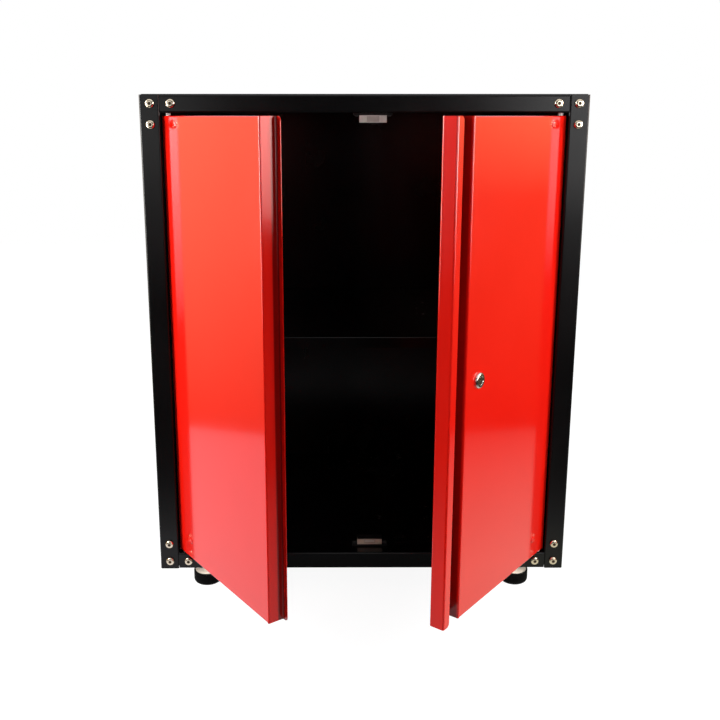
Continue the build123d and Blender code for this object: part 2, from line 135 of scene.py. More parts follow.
def door_point(side, along):
    """Where a point of a door's outer face lies at rest, at a distance from the hinge edge."""
    angle = door_angle(side)
    x = side * (hinge_edge_x - along - pivot_x)
    y = door_face_y - pivot_y
    return (
        side * pivot_x + x * math.cos(angle) - y * math.sin(angle),
        pivot_y + x * math.sin(angle) + y * math.cos(angle),
    )


def door_normal(side):
    """Outward direction of a door's face at rest."""
    angle = door_angle(side)
    return (math.sin(angle), -math.cos(angle), 0.0)


def shut_frame(side):
    """Pivot and turn that take a door's points from rest to where the door is shut."""
    return (side * pivot_x, pivot_y), -door_angle(side)


def group_input(group, name, value):
    """A number that each material can set for itself."""
    socket = group.interface.new_socket(name=name, in_out="INPUT", socket_type="NodeSocketFloat")
    socket.default_value = value


def group_output(group, name):
    """A value that changes over the surface."""
    group.interface.new_socket(name=name, in_out="OUTPUT", socket_type="NodeSocketFloat")


def coat_texture_group():
    """Powder coat: a fine orange-peel skin, slow changes of tone and a few faint rub marks."""
    group = bpy.data.node_groups.new("powder_coat_skin", "ShaderNodeTree")
    group_input(group, "Peel Scale", 900.0)
    group_input(group, "Cloud Scale", 6.0)
    group_input(group, "Rub Scale", 40.0)
    group_output(group, "Peel")
    group_output(group, "Cloud")
    group_output(group, "Rub")
    tree, link = group.nodes, group.links.new
    source = tree.new("NodeGroupInput")
    result = tree.new("NodeGroupOutput")
    spot = tree.new("ShaderNodeTexCoord")
    peel = tree.new("ShaderNodeTexNoise")
    peel.inputs["Detail"].default_value = 2.0
    cloud = tree.new("ShaderNodeTexNoise")
    cloud.inputs["Detail"].default_value = 4.0
    stretch = tree.new("ShaderNodeMapping")
    stretch.inputs["Scale"].default_value = (1.0, 1.0, 0.12)
    stretch.inputs["Rotation"].default_value = (0.35, 0.2, 0.0)
    rub = tree.new("ShaderNodeTexNoise")
    rub.inputs["Detail"].default_value = 6.0
    rub.inputs["Roughness"].default_value = 0.65
    marks = tree.new("ShaderNodeMapRange")
    marks.inputs["From Min"].default_value = 0.60
    marks.inputs["From Max"].default_value = 0.78
    link(spot.outputs["Object"], peel.inputs["Vector"])
    link(spot.outputs["Object"], cloud.inputs["Vector"])
    link(spot.outputs["Object"], stretch.inputs["Vector"])
    link(stretch.outputs["Vector"], rub.inputs["Vector"])
    link(source.outputs["Peel Scale"], peel.inputs["Scale"])
    link(source.outputs["Cloud Scale"], cloud.inputs["Scale"])
    link(source.outputs["Rub Scale"], rub.inputs["Scale"])
    link(rub.outputs["Fac"], marks.inputs["Value"])
    link(peel.outputs["Fac"], result.inputs["Peel"])
    link(cloud.outputs["Fac"], result.inputs["Cloud"])
    link(marks.outputs["Result"], result.inputs["Rub"])
    return group


def metal_texture_group():
    """Plated metal: fine brush lines along one way and a cloudy passivation."""
    group = bpy.data.node_groups.new("plated_skin", "ShaderNodeTree")
    group_input(group, "Line Scale", 700.0)
    group_input(group, "Cloud Scale", 120.0)
    group_output(group, "Lines")
    group_output(group, "Cloud")
    tree, link = group.nodes, group.links.new
    source = tree.new("NodeGroupInput")
    result = tree.new("NodeGroupOutput")
    spot = tree.new("ShaderNodeTexCoord")
    stretch = tree.new("ShaderNodeMapping")
    stretch.inputs["Scale"].default_value = (0.06, 1.0, 1.0)
    lines = tree.new("ShaderNodeTexNoise")
    lines.inputs["Detail"].default_value = 3.0
    cloud = tree.new("ShaderNodeTexNoise")
    cloud.inputs["Detail"].default_value = 4.0
    link(spot.outputs["Object"], stretch.inputs["Vector"])
    link(stretch.outputs["Vector"], lines.inputs["Vector"])
    link(spot.outputs["Object"], cloud.inputs["Vector"])
    link(source.outputs["Line Scale"], lines.inputs["Scale"])
    link(source.outputs["Cloud Scale"], cloud.inputs["Scale"])
    link(lines.outputs["Fac"], result.inputs["Lines"])
    link(cloud.outputs["Fac"], result.inputs["Cloud"])
    return group


# Finishes: the range that most noise values lie in, depths of the reliefs, and gloss of the clear coat
noise_low = 0.30
noise_high = 0.70
peel_depth = 0.00012
line_depth = 0.00005
grain_depth = 0.0002
grain_cloud_scale = 60.0
rub_dulling = 0.04
coat_roughness = 0.05
coat_skin = coat_texture_group()
plated_skin = metal_texture_group()


def new_material(name):
    """A material, its nodes, its linking call and its shader."""
    material = bpy.data.materials.new(name)
    material.use_nodes = True
    tree = material.node_tree
    return material, tree.nodes, tree.links.new, tree.nodes["Principled BSDF"]


def colour_ramp(tree, low, high):
    """Blend from one colour to another over the usual range of a noise."""
    ramp = tree.new("ShaderNodeValToRGB")
    ramp.color_ramp.elements[0].color = (*low, 1.0)
    ramp.color_ramp.elements[1].color = (*high, 1.0)
    ramp.color_ramp.elements[0].position = noise_low
    ramp.color_ramp.elements[1].position = noise_high
    return ramp


def value_range(tree, low, high):
    """Run from one value to another over the usual range of a noise."""
    span = tree.new("ShaderNodeMapRange")
    span.inputs["From Min"].default_value = noise_low
    span.inputs["From Max"].default_value = noise_high
    span.inputs["To Min"].default_value = low
    span.inputs["To Max"].default_value = high
    return span


def bump(tree, strength, depth):
    """A fine relief; depth is in metres."""
    node = tree.new("ShaderNodeBump")
    node.inputs["Strength"].default_value = strength
    node.inputs["Distance"].default_value = depth
    return node


def patch_factor(tree, link, spans, pivot=(0.0, 0.0), angle=0.0):
    """1 inside a patch of Object coordinates turned about an upright pivot, fading to 0 at its edges."""
    spot = tree.new("ShaderNodeTexCoord")
    turn = tree.new("ShaderNodeMapping")
    cosine, sine = math.cos(angle), math.sin(angle)
    turn.inputs["Rotation"].default_value = (0.0, 0.0, angle)
    turn.inputs["Location"].default_value = (
        sine * pivot[1] - cosine * pivot[0], -sine * pivot[0] - cosine * pivot[1], 0.0)
    parts = tree.new("ShaderNodeSeparateXYZ")
    link(spot.outputs["Object"], turn.inputs["Vector"])
    link(turn.outputs["Vector"], parts.inputs["Vector"])
    factor = None
    for axis, outside, inside in spans:
        step = tree.new("ShaderNodeMapRange")
        step.inputs["From Min"].default_value = outside
        step.inputs["From Max"].default_value = inside
        link(parts.outputs[axis], step.inputs["Value"])
        if factor is None:
            factor = step.outputs["Result"]
            continue
        both = tree.new("ShaderNodeMath")
        both.operation = "MULTIPLY"
        link(factor, both.inputs[0])
        link(step.outputs["Result"], both.inputs[1])
        factor = both.outputs["Value"]
    return factor


def patched(tree, link, colour, tone, *patch):
    """The colour, with another tone inside a patch."""
    blend = tree.new("ShaderNodeMix")
    blend.data_type = "RGBA"
    blend.inputs["B"].default_value = (*tone, 1.0)
    link(patch_factor(tree, link, *patch), blend.inputs["Factor"])
    link(colour, blend.inputs["A"])
    return blend.outputs["Result"]


def painted(name, low, high, roughness, coat, peel_strength, specular=0.5, patch=None):
    """Powder-coated sheet; a patch takes another tone, which paints shade into a door's recess."""
    material, tree, link, shader = new_material(name)
    skin = tree.new("ShaderNodeGroup")
    skin.node_tree = coat_skin
    tone = colour_ramp(tree, low, high)
    gloss = value_range(tree, *roughness)
    rubbed = tree.new("ShaderNodeMath")
    rubbed.operation = "MULTIPLY_ADD"
    rubbed.inputs[1].default_value = rub_dulling
    relief = bump(tree, peel_strength, peel_depth)
    link(skin.outputs["Cloud"], tone.inputs["Fac"])
    colour = tone.outputs["Color"]
    if patch:
        colour = patched(tree, link, colour, *patch)
    link(colour, shader.inputs["Base Color"])
    link(skin.outputs["Cloud"], gloss.inputs["Value"])
    link(skin.outputs["Rub"], rubbed.inputs[0])
    link(gloss.outputs["Result"], rubbed.inputs[2])
    link(rubbed.outputs["Value"], shader.inputs["Roughness"])
    link(skin.outputs["Peel"], relief.inputs["Height"])
    link(relief.outputs["Normal"], shader.inputs["Normal"])
    shader.inputs["Coat Weight"].default_value = coat
    shader.inputs["Coat Roughness"].default_value = coat_roughness
    shader.inputs["Specular IOR Level"].default_value = specular
    return material


def plated(name, low, high, roughness, line_scale, line_strength, metallic=1.0, patch=None):
    """Bare or plated metal; a patch takes another tone: painted shade on the lower catch's case, a
    painted highlight on its magnet.
    """
    material, tree, link, shader = new_material(name)
    skin = tree.new("ShaderNodeGroup")
    skin.node_tree = plated_skin
    skin.inputs["Line Scale"].default_value = line_scale
    tone = colour_ramp(tree, low, high)
    gloss = value_range(tree, *roughness)
    relief = bump(tree, line_strength, line_depth)
    link(skin.outputs["Cloud"], tone.inputs["Fac"])
    colour = tone.outputs["Color"]
    if patch:
        colour = patched(tree, link, colour, *patch)
    link(colour, shader.inputs["Base Color"])
    link(skin.outputs["Lines"], gloss.inputs["Value"])
    link(gloss.outputs["Result"], shader.inputs["Roughness"])
    link(skin.outputs["Lines"], relief.inputs["Height"])
    link(relief.outputs["Normal"], shader.inputs["Normal"])
    shader.inputs["Metallic"].default_value = metallic
    return material


def moulded(name, low, high, roughness, grain_scale, grain_strength, specular=0.5):
    """Moulded plastic or rubber with a fine grain."""
    material, tree, link, shader = new_material(name)
    skin = tree.new("ShaderNodeGroup")
    skin.node_tree = coat_skin
    skin.inputs["Peel Scale"].default_value = grain_scale
    skin.inputs["Cloud Scale"].default_value = grain_cloud_scale
    tone = colour_ramp(tree, low, high)
    gloss = value_range(tree, *roughness)
    relief = bump(tree, grain_strength, grain_depth)
    link(skin.outputs["Cloud"], tone.inputs["Fac"])
    link(tone.outputs["Color"], shader.inputs["Base Color"])
    link(skin.outputs["Peel"], gloss.inputs["Value"])
    link(gloss.outputs["Result"], shader.inputs["Roughness"])
    link(skin.outputs["Peel"], relief.inputs["Height"])
    link(relief.outputs["Normal"], shader.inputs["Normal"])
    shader.inputs["Specular IOR Level"].default_value = specular
    return material


# Paint of the frame and of the doors, with painted shade in the doors' recesses
black_paint = painted(
    "black_powder_coat", low=(0.0028, 0.0028, 0.0030), high=(0.0044, 0.0044, 0.0046),
    roughness=(0.20, 0.28), coat=0.0, peel_strength=0.10, specular=0.25)
red_coat = {
    "low": (0.83, 0.008, 0.003),
    "high": (0.87, 0.010, 0.004),
    "roughness": (0.10, 0.14),
    "coat": 0.15,
    "peel_strength": 0.04,
}
red_paint = painted("red_gloss_coat", **red_coat)
# Painted shade: the right door's channel is darkened where shade falls in it
painted_shade_channel_colour = (0.22, 0.002, 0.001)
painted_shade_channel_area = (
    ("X", channel_far, channel_far + tone_edge),
    ("X", channel_near, channel_near - tone_edge),
    ("Y", channel_mouth, channel_mouth + channel_fade),
    ("Y", channel_floor + recess_skin + tone_edge, channel_floor + recess_skin),
)
coat_with_painted_shade_in_channel = painted(
    "red_coat_painted_shade_in_channel", **red_coat, patch=(painted_shade_channel_colour, painted_shade_channel_area, *shut_frame(1)))
# Painted shade: the left door's lip and the deep part of its flange are darkened where the flange shades
# them
painted_shade_lip_colour = (0.24, 0.002, 0.001)
painted_shade_lip_area = (
    ("X", lip_near, lip_near + tone_edge),
    ("X", lip_far, lip_far - lip_far_fade),
    ("Y", lip_mouth, lip_mouth + lip_fade),
    ("Y", lip_floor + recess_skin + tone_edge, lip_floor + recess_skin),
)
coat_with_painted_shade_on_lip = painted("red_coat_painted_shade_on_lip", **red_coat, patch=(painted_shade_lip_colour, painted_shade_lip_area, *shut_frame(-1)))

# Metal of the bolts, lock, hinges and feet
nickel = plated(
    "bright_nickel", low=(0.66, 0.63, 0.58), high=(0.78, 0.75, 0.69),
    roughness=(0.10, 0.20), line_scale=900.0, line_strength=0.05)
bolt_plate = plated(
    "bolt_plate", low=(0.66, 0.56, 0.42), high=(0.76, 0.66, 0.52),
    roughness=(0.12, 0.20), line_scale=900.0, line_strength=0.05)
# Painted shade: the dark metal in the bolts' sockets
socket_painted_shade_metal = plated(
    "socket_painted_shade_metal", low=(0.10, 0.07, 0.04), high=(0.16, 0.11, 0.07),
    roughness=(0.45, 0.60), line_scale=900.0, line_strength=0.05, metallic=0.5)
zinc = plated(
    "zinc_plate", low=(0.55, 0.53, 0.49), high=(0.68, 0.66, 0.62),
    roughness=(0.28, 0.42), line_scale=700.0, line_strength=0.12)
matt_zinc = plated(
    "matt_zinc", low=(0.62, 0.53, 0.44), high=(0.70, 0.61, 0.51),
    roughness=(0.45, 0.60), line_scale=500.0, line_strength=0.10, metallic=0.25)

# Metal of the catches: the lower case has painted shade on its crown, and its magnet a painted highlight
# line
catch_plate = plated(
    "catch_plate", low=(0.80, 0.77, 0.72), high=(0.88, 0.85, 0.80),
    roughness=(0.30, 0.42), line_scale=600.0, line_strength=0.08, metallic=0.15)
# Painted shade: the top of the lower catch's case is dark
painted_shade_crown_colour = (0.006, 0.005, 0.005)
painted_shade_crown_area = (("Z", crown_level, crown_level + crown_edge),)
brown_metal_with_painted_shade = plated(
    "brown_metal_with_painted_shade", low=(0.78, 0.60, 0.47), high=(0.88, 0.70, 0.57),
    roughness=(0.40, 0.55), line_scale=600.0, line_strength=0.08, metallic=0.20,
    patch=(painted_shade_crown_colour, painted_shade_crown_area))
# Painted highlight: a pale line along the lower magnet's face
painted_highlight_pole_colour = (0.95, 0.93, 0.90)
painted_highlight_pole_area = (
    ("X", catch_centre - pole_half_length - pole_end_fade, catch_centre - pole_half_length),
    ("X", catch_centre + pole_half_length + pole_end_fade, catch_centre + pole_half_length),
    ("Z", pole_level - pole_half_height - pole_edge, pole_level - pole_half_height),
    ("Z", pole_level + pole_half_height + pole_edge, pole_level + pole_half_height),
)
magnet_metal_with_painted_highlight = plated(
    "magnet_metal_with_painted_highlight", low=(0.66, 0.51, 0.40), high=(0.76, 0.61, 0.50),
    roughness=(0.40, 0.55), line_scale=500.0, line_strength=0.10, metallic=0.20,
    patch=(painted_highlight_pole_colour, painted_highlight_pole_area))
dark_screw = plated(
    "dark_screw", low=(0.05, 0.05, 0.05), high=(0.09, 0.09, 0.09),
    roughness=(0.40, 0.55), line_scale=900.0, line_strength=0.05, metallic=0.50)
magnet_face = plated(
    "magnet_face", low=(0.52, 0.48, 0.44), high=(0.62, 0.58, 0.54),
    roughness=(0.40, 0.55), line_scale=500.0, line_strength=0.10, metallic=0.30)

# Plastic and rubber
nylon = moulded(
    "natural_nylon", low=(0.74, 0.73, 0.70), high=(0.82, 0.81, 0.78),
    roughness=(0.35, 0.45), grain_scale=1500.0, grain_strength=0.05)
black_plastic = moulded(
    "black_plastic", low=(0.008, 0.008, 0.009), high=(0.012, 0.012, 0.012),
    roughness=(0.40, 0.52), grain_scale=2200.0, grain_strength=0.15, specular=0.3)
rubber = moulded(
    "black_rubber", low=(0.003, 0.003, 0.003), high=(0.005, 0.005, 0.005),
    roughness=(0.60, 0.75), grain_scale=1800.0, grain_strength=0.18, specular=0.04)

slot_finish = {
    "frame_black": black_paint,
    "door_red": red_paint,
    "bright_plate": nickel,
    "zinc": zinc,
    "magnet": magnet_face,
    "white_nylon": nylon,
    "black_plastic": black_plastic,
    "foot_rubber": rubber,
}
own_finish = {
    "left_door_panel": coat_with_painted_shade_on_lip,
    "right_door_panel": coat_with_painted_shade_in_channel,
    "top_catch_case": catch_plate,
    "bottom_catch_case": brown_metal_with_painted_shade,
    "bottom_catch_magnet": magnet_metal_with_painted_highlight,
    **{foot + "_stem": matt_zinc for foot in foot_places},
}


def dress_nodes():
    """Every CAD node takes the finish of its slot, and a few have one of their own."""
    for entry in frame["record"]["subparts"]:
        name = entry["node"]
        materials = nodes[name].data.materials
        materials.clear()
        materials.append(own_finish.get(name, slot_finish[entry["material_slot"]]))


def finish_piece(name, form, body, materials, replaced=()):
    """Make a bmesh into a piece of the object, riding on one of its bodies."""
    bmesh.ops.remove_doubles(form, verts=form.verts[:], dist=merge_gap)
    bmesh.ops.recalc_face_normals(form, faces=form.faces[:])
    mesh = bpy.data.meshes.new(name)
    form.to_mesh(mesh)
    form.free()
    mesh.shade_smooth()
    mesh.set_sharp_from_angle(angle=smooth_angle)
    for material in materials:
        mesh.materials.append(material)
    piece = bpy.data.objects.new(name, mesh)
    scene.collection.objects.link(piece)
    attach(piece, body)
    if replaced:
        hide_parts(*replaced)


def turned(form, outline, steps, closed=False):
    """Spin a half outline of (radius, height) points once round Z; returns the new vertices."""
    before = set(form.verts)
    points = [form.verts.new((radius, 0.0, height)) for radius, height in outline]
    pairs = list(zip(points, points[1:]))
    if closed:
        pairs.append((points[-1], points[0]))
    edges = [form.edges.new(pair) for pair in pairs]
    bmesh.ops.spin(
        form, geom=points + edges, cent=(0, 0, 0), axis=(0, 0, 1), dvec=(0, 0, 0),
        angle=math.tau, steps=steps, use_merge=True, use_duplicate=False)
    return [vertex for vertex in form.verts if vertex not in before]


def quarter_round(start, end, steps, upright_first=True):
    """Points of a quarter ellipse after start, up to end; it leaves start upright or flat."""
    points = []
    for step in range(1, steps + 1):
        swing = step / steps * math.pi / 2
        early, late = math.sin(swing), 1.0 - math.cos(swing)
        across, upward = (late, early) if upright_first else (early, late)
        points.append((start[0] + (end[0] - start[0]) * across, start[1] + (end[1] - start[1]) * upward))
    return points


def put(form, vertices, matrix):
    """Move new vertices from the origin to their place on the cabinet."""
    bmesh.ops.transform(form, matrix=matrix, verts=vertices)


def outward(origin, normal):
    """A frame at origin whose Z is the given normal and whose Y is upright where it can be."""
    z_axis = Vector(normal).normalized()
    upright = Vector((0, 0, 1)) if abs(z_axis.z) < nearly_upright else Vector((0, 1, 0))
    x_axis = upright.cross(z_axis).normalized()
    y_axis = z_axis.cross(x_axis)
    matrix = Matrix((x_axis, y_axis, z_axis)).transposed().to_4x4()
    matrix.translation = Vector(origin)
    return matrix


# Button-head bolts with a hexagon socket, three at each corner of the front
bolt_from_side = 0.0165
bolt_from_end = 0.014
bolt_pitch = 0.031
bolt_head_radius = 0.0070
bolt_head_height = 0.0044
bolt_rim_height = 0.0008
bolt_rim_chamfer = 0.0003
bolt_crown_radius = 0.0036
bolt_shank_radius = 0.0040
bolt_shank_length = 0.0089
socket_radius = 0.0029
socket_depth = 0.0026
socket_sides = 6
bolt_steps = 24
bolt_dome_steps = 6

# Limits that pick out the socket's vertices, and its faces below the crown
socket_reach = 1.1 * socket_radius
socket_wall_reach = 1.02 * socket_radius
socket_mouth = 0.0002

# Each socket is turned its own way, in radians
first_turn = 0.4
turn_by_bolt = 1.1
turn_by_side = 0.5
turn_by_end = 0.9


def bolt_outline():
    """Half outline of a bolt, from its tip to the rim of its crown."""
    rim = (bolt_head_radius, bolt_rim_height)
    crown = (bolt_crown_radius, bolt_head_height)
    return [
        (0.0, -bolt_shank_length),
        (bolt_shank_radius, -bolt_shank_length),
        (bolt_shank_radius, 0.0),
        (bolt_head_radius - bolt_rim_chamfer, 0.0),
        (bolt_head_radius, bolt_rim_chamfer),
        rim,
        *quarter_round(rim, crown, bolt_dome_steps),
    ]


def bolt_mesh():
    """One bolt: the turned outline, with a hexagon socket sunk into its crown."""
    form = bmesh.new()
    turned(form, bolt_outline(), bolt_steps)
    bmesh.ops.remove_doubles(form, verts=form.verts[:], dist=merge_gap)
    rim = [
        edge for edge in form.edges
        if all(abs(vertex.co.z - bolt_head_height) < merge_gap for vertex in edge.verts)
    ]
    hexagon = bmesh.ops.create_circle(
        form, cap_ends=False, segments=socket_sides, radius=socket_radius)["verts"]
    sides = list({edge for vertex in hexagon for edge in vertex.link_edges})
    bmesh.ops.subdivide_edges(form, edges=sides, cuts=bolt_steps // socket_sides - 1)
    corners = {
        vertex for vertex in form.verts
        if abs(vertex.co.z) < merge_gap and vertex.co.length < socket_reach
    }
    loop = [edge for edge in form.edges if all(vertex in corners for vertex in edge.verts)]
    bmesh.ops.translate(form, verts=list(corners), vec=(0, 0, bolt_head_height))
    bmesh.ops.bridge_loops(form, edges=rim + loop)
    sunk = bmesh.ops.extrude_edge_only(form, edges=loop)["geom"]
    low = {item for item in sunk if isinstance(item, bmesh.types.BMVert)}
    low_edges = [edge for edge in form.edges if all(vertex in low for vertex in edge.verts)]
    bmesh.ops.translate(form, verts=list(low), vec=(0, 0, -socket_depth))
    bmesh.ops.edgeloop_fill(form, edges=low_edges)
    # Faces down in the socket take the second material, a painted shade
    for face in form.faces:
        middle = face.calc_center_median()
        below_crown = 0 < middle.z < bolt_head_height - socket_mouth
        if below_crown and math.hypot(middle.x, middle.y) < socket_wall_reach:
            face.material_index = 1
    mesh = bpy.data.meshes.new("bolt_form")
    form.to_mesh(mesh)
    form.free()
    return mesh


def corner_bolts():
    """Three bolts in an L at each front corner, with painted shade in their sockets."""
    form = bmesh.new()
    bolt = bolt_mesh()
    for side in (-1, 1):
        for end, inwards in ((frame_top, -1), (frame_base, 1)):
            x = side * (half_width - bolt_from_side)
            z = end + inwards * bolt_from_end
            inner_x = x - side * bolt_pitch
            further_z = z + inwards * bolt_pitch
            for count, (bolt_x, bolt_z) in enumerate(((x, z), (inner_x, z), (x, further_z))):
                angle = first_turn + turn_by_bolt * count + turn_by_side * side + turn_by_end * inwards
                before = set(form.verts)
                form.from_mesh(bolt)
                added = [vertex for vertex in form.verts if vertex not in before]
                seat = outward((bolt_x, front_y, bolt_z), (0, -1, 0))
                put(form, added, seat @ Matrix.Rotation(angle, 4, "Z"))
    bpy.data.meshes.remove(bolt)
    finish_piece(
        "corner_bolts", form, "cabinet", [bolt_plate, socket_painted_shade_metal],
        replaced=["front_corner_bolts"])


# Toes of the posts' jambs, beside the sills of the rails
jamb_x = 0.309
jamb_sheet = 0.0015
jamb_depth = 0.026
toe_below = 0.0030
toe_above = 0.0042


def jamb_toes():
    """Short ends of the four jambs, which close the corners between posts and sills."""
    form = bmesh.new()
    for side in (-1, 1):
        for sill, away in ((upper_sill, -1), (lower_sill, 1)):
            block = bmesh.ops.create_cube(form, size=1.0)["verts"]
            low, high = sorted((sill - away * toe_below, sill + away * toe_above))
            middle_y = front_y + (jamb_sheet + jamb_depth) / 2
            middle = (side * (jamb_x + jamb_sheet / 2), middle_y, (low + high) / 2)
            size = (jamb_sheet, jamb_depth - jamb_sheet, high - low)
            put(form, block, Matrix.LocRotScale(middle, None, size))
    finish_piece("jamb_toes", form, "cabinet", [black_paint])


# Painted stud heads beside the hinges
stud_from_edge = 0.043
stud_below_top = 0.013
stud_above_bottom = 0.032
stud_radius = 0.0054
stud_height = 0.00185
stud_root = 0.0004
stud_dome_steps = 5
stud_steps = 32


def stud_outline():
    """Half outline of a stud's dome, rooted a little below the door's face."""
    edge = (stud_radius, 0.0)
    return [
        (0.0, -stud_root),
        (stud_radius, -stud_root),
        edge,
        *quarter_round(edge, (0.0, stud_height), stud_dome_steps),
    ]


def door_studs(side, body):
    """The upper and the lower stud of one door."""
    form = bmesh.new()
    x, y = door_point(side, stud_from_edge)
    for level in (door_top - stud_below_top, door_bottom + stud_above_bottom):
        vertices = turned(form, stud_outline(), stud_steps)
        put(form, vertices, outward((x, y, level), door_normal(side)))
    finish_piece(body + "_stud_heads", form, body, [red_paint])


# Cylinder lock
lock_from_edge = 0.244
lock_level = 0.4315
lock_bore_radius = 0.00605
lock_mouth_radius = 0.0066
lock_mouth_height = 0.0034
lock_head_radius = 0.0115
lock_head_height = 0.0040
lock_flat_radius = 0.0092
lock_edge_height = 0.0012
lock_edge_steps = 4
lock_body_radius = 0.0090
lock_body_length = 0.0258
lock_steps = 48
key_face_radius = 0.0058
key_face_height = 0.0037
key_face_back = 0.0034
key_face_steps = 32
keyway_half_width = 0.0008
keyway_half_length = 0.0035
keyway_spread = 3


def lock_seat():
    """A frame on the right door's face at the lock's centre."""
    x, y = door_point(1, lock_from_edge)
    return outward((x, y, lock_level), door_normal(1))


def lock_outline():
    """Closed half outline of the bored housing: a chamfered mouth, a rounded head and a plain body."""
    flat_end = (lock_flat_radius, lock_head_height)
    edge = (lock_head_radius, lock_edge_height)
    return [
        (lock_bore_radius, lock_mouth_height),
        (lock_mouth_radius, lock_head_height),
        flat_end,
        *quarter_round(flat_end, edge, lock_edge_steps, upright_first=False),
        (lock_head_radius, 0.0),
        (lock_body_radius, 0.0),
        (lock_body_radius, -lock_body_length),
        (lock_bore_radius, -lock_body_length),
    ]


def lock_bezel():
    """The lock's housing, with a rounded head on the door's face."""
    form = bmesh.new()
    vertices = turned(form, lock_outline(), lock_steps, closed=True)
    put(form, vertices, lock_seat())
    finish_piece("lock_bezel", form, "right_door", [nickel], replaced=["lock_housing"])


def key_face():
    """Face of the plug: a thin disc with the key's slot through it."""
    form = bmesh.new()
    rim = bmesh.ops.create_circle(
        form, cap_ends=False, segments=key_face_steps, radius=key_face_radius)["verts"]
    slot = bmesh.ops.create_circle(
        form, cap_ends=False, segments=key_face_steps, radius=keyway_half_length)["verts"]
    for vertex in slot:
        spread = vertex.co.x * keyway_spread
        vertex.co.x = max(-keyway_half_width, min(keyway_half_width, spread))
    rim_edges = list({edge for vertex in rim for edge in vertex.link_edges})
    slot_edges = list({edge for vertex in slot for edge in vertex.link_edges})
    bmesh.ops.bridge_loops(form, edges=rim_edges + slot_edges)
    bmesh.ops.translate(form, verts=form.verts[:], vec=(0, 0, key_face_height))
    back_edges = []
    for edges in (rim_edges, slot_edges):
        grown = bmesh.ops.extrude_edge_only(form, edges=edges)["geom"]
        low = {item for item in grown if isinstance(item, bmesh.types.BMVert)}
        back_edges += [edge for edge in form.edges if all(vertex in low for vertex in edge.verts)]
        bmesh.ops.translate(form, verts=list(low), vec=(0, 0, key_face_back - key_face_height))
    bmesh.ops.bridge_loops(form, edges=back_edges)
    put(form, form.verts[:], lock_seat())
    finish_piece("key_face", form, "lock", [nickel])


# Rubber bases of the levelling feet
foot_radius = 0.0245
foot_height = 0.0220
tread_radius = 0.0190
tread_rise = 0.0064
tread_steps = 4
groove_radius = 0.0239
groove_level = 0.0163
groove_half_floor = 0.0003
groove_half_mouth = 0.0013
rim_outer_radius = 0.0236
rim_inner_radius = 0.0225
rim_outer_drop = 0.0010
rim_inner_drop = 0.0008
cup_radius = 0.0218
cup_level = 0.0200
edge_steps = 2
foot_steps = 64


def foot_outline():
    """Half outline of a foot's base: a rounded tread, a fine groove and a rim round a shallow cup."""
    tread = (tread_radius, 0.0)
    groove_start = (foot_radius, groove_level - groove_half_mouth)
    groove_foot = (groove_radius, groove_level - groove_half_floor)
    groove_head = (groove_radius, groove_level + groove_half_floor)
    groove_end = (foot_radius, groove_level + groove_half_mouth)
    shoulder = (foot_radius, foot_height - rim_outer_drop)
    rim_inner = (rim_inner_radius, foot_height)
    cup_lip = (cup_radius, foot_height - rim_inner_drop)
    return [
        (0.0, 0.0),
        tread,
        *quarter_round(tread, (foot_radius, tread_rise), tread_steps, upright_first=False),
        groove_start,
        *quarter_round(groove_start, groove_foot, edge_steps),
        groove_head,
        *quarter_round(groove_head, groove_end, edge_steps, upright_first=False),
        shoulder,
        *quarter_round(shoulder, (rim_outer_radius, foot_height), edge_steps),
        rim_inner,
        *quarter_round(rim_inner, cup_lip, edge_steps, upright_first=False),
        (cup_radius, cup_level),
        (0.0, cup_level),
    ]


def foot_bases():
    """A rubber base on each foot."""
    for foot, (x, y) in foot_places.items():
        form = bmesh.new()
        vertices = turned(form, foot_outline(), foot_steps)
        put(form, vertices, Matrix.Translation((x, y, 0.0)))
        finish_piece(foot + "_rubber", form, foot, [rubber], replaced=[foot + "_base"])


# Small screws that hold the catches
screw_radius = 0.0030
screw_height = 0.0017
screw_root = 0.0003
screw_crown_radius = 0.0009
recess_radius = 0.0007
recess_level = 0.0008
screw_dome_steps = 3
screw_steps = 24


def screw_outline():
    """Half outline of a domed screw head with a small recess."""
    crown = (screw_crown_radius, screw_height)
    return [
        (0.0, recess_level),
        (recess_radius, recess_level),
        crown,
        *quarter_round(crown, (screw_radius, 0.0), screw_dome_steps, upright_first=False),
        (screw_radius, -screw_root),
        (0.0, -screw_root),
    ]


def catch_screws():
    """A screw in each ear of both catches."""
    form = bmesh.new()
    for sill, away in ((upper_sill, -1), (lower_sill, 1)):
        for reach in (-catch_ear_reach, catch_ear_reach):
            vertices = turned(form, screw_outline(), screw_steps)
            spot = (catch_centre + reach, catch_y, sill + away * catch_base_height)
            put(form, vertices, outward(spot, (0, 0, away)))
    finish_piece("catch_screws", form, "cabinet", [dark_screw])


# Studio
world_fill = 0.03
floor_half = 4.0
floor_near = 0.45
floor_far = 1.1
floor_glow_near = 0.92
floor_glow_far = 1.0
floor_tone = 0.25


def stage_piece(name, form):
    """Make a bmesh into a piece of the studio."""
    mesh = bpy.data.meshes.new(name)
    form.to_mesh(mesh)
    form.free()
    piece = bpy.data.objects.new(name, mesh)
    scene.collection.objects.link(piece)
    return piece


def stage_material(name, piece):
    """An empty material on a piece of the studio: its nodes, its linking call and its output."""
    material = bpy.data.materials.new(name)
    material.use_nodes = True
    piece.data.materials.append(material)
    tree = material.node_tree
    tree.nodes.clear()
    return tree.nodes, tree.links.new, tree.nodes.new("ShaderNodeOutputMaterial")


